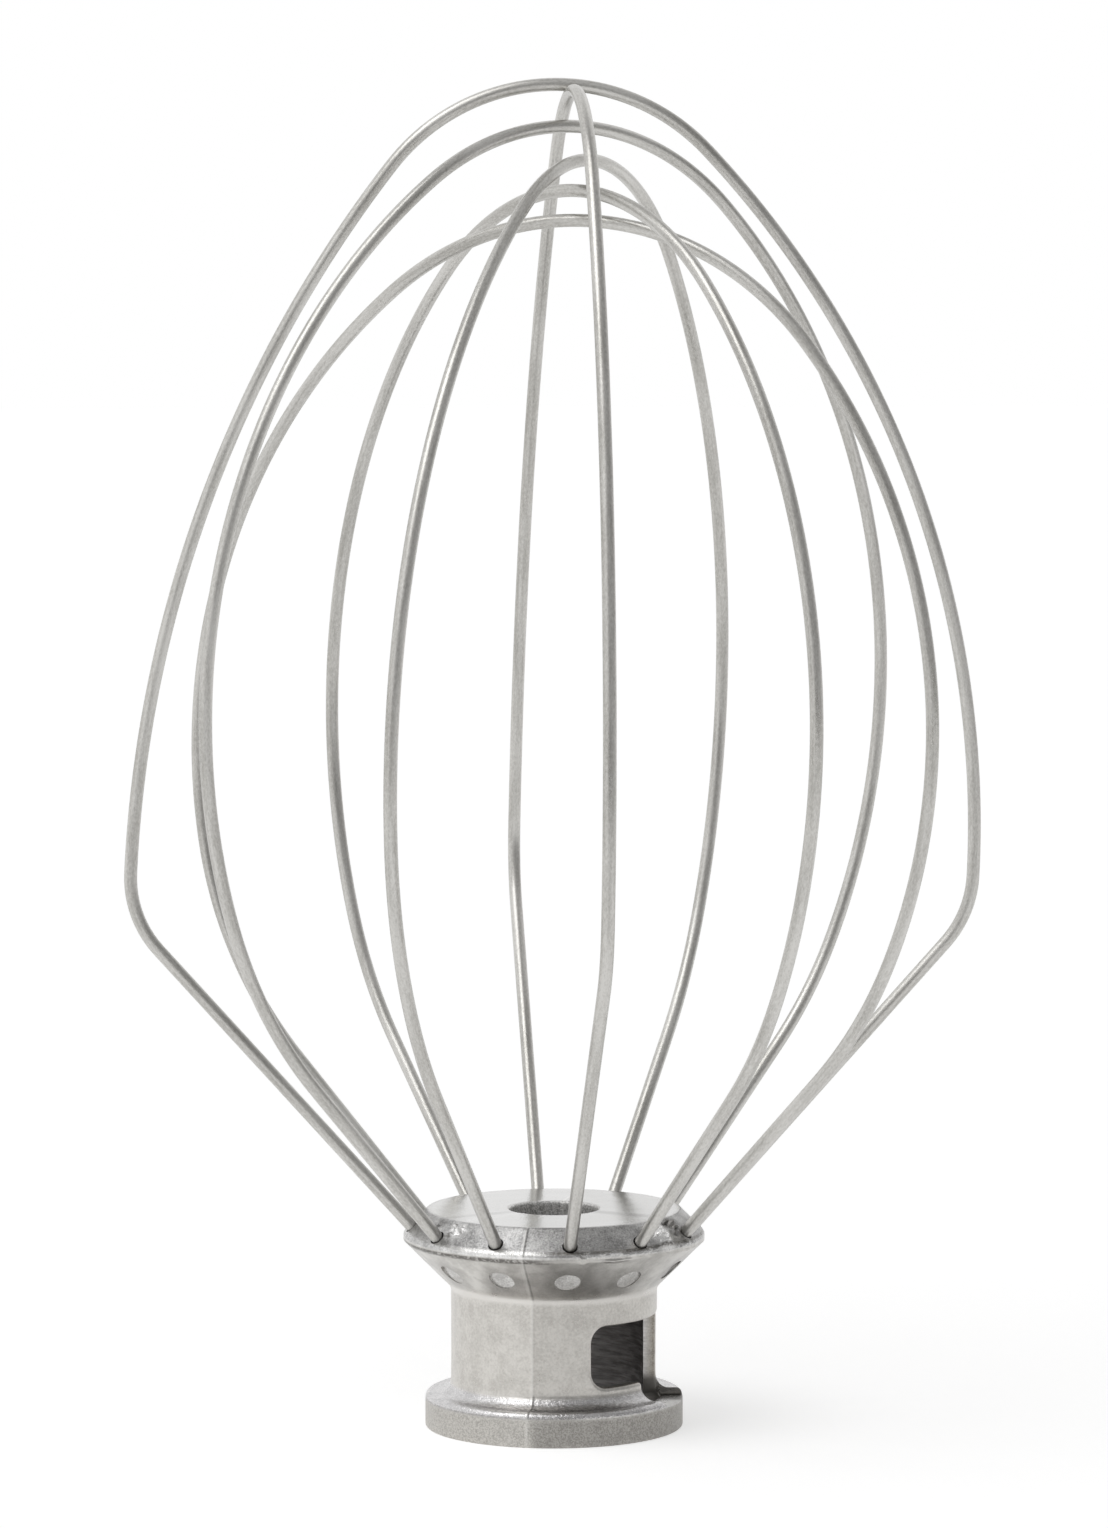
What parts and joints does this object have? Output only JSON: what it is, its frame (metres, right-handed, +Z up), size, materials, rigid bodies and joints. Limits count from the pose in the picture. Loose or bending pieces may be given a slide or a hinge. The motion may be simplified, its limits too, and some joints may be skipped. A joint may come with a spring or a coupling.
{
  "type": "stand mixer wire whisk",
  "caption": "Balloon whisk for a stand mixer: nested loops of steel wire staked into a flared cast hub, which slips onto the mixer's shaft and locks on its pin by a bayonet slot.",
  "frame": {"origin": "centre of the hub's flat base, on the axis of the socket", "axes": "+Z up the axis from the base to the crown of the wires; +X towards the slot's closed end, in the plane of the tallest loop"},
  "size_m": [0.1057, 0.1058, 0.1655],
  "materials": {
    "cast_hub": "satin die-cast, mottled",
    "wire": "satin drawn wire, worn"
  },
  "bodies": {
    "root": {"hub": "cast_hub", "outer_loop_upper": "wire", "outer_loop_lower": "wire", "middle_loop_upper": "wire", "middle_loop_lower": "wire", "inner_loop_upper": "wire", "inner_loop_lower": "wire"}
  },
  "joints": []
}
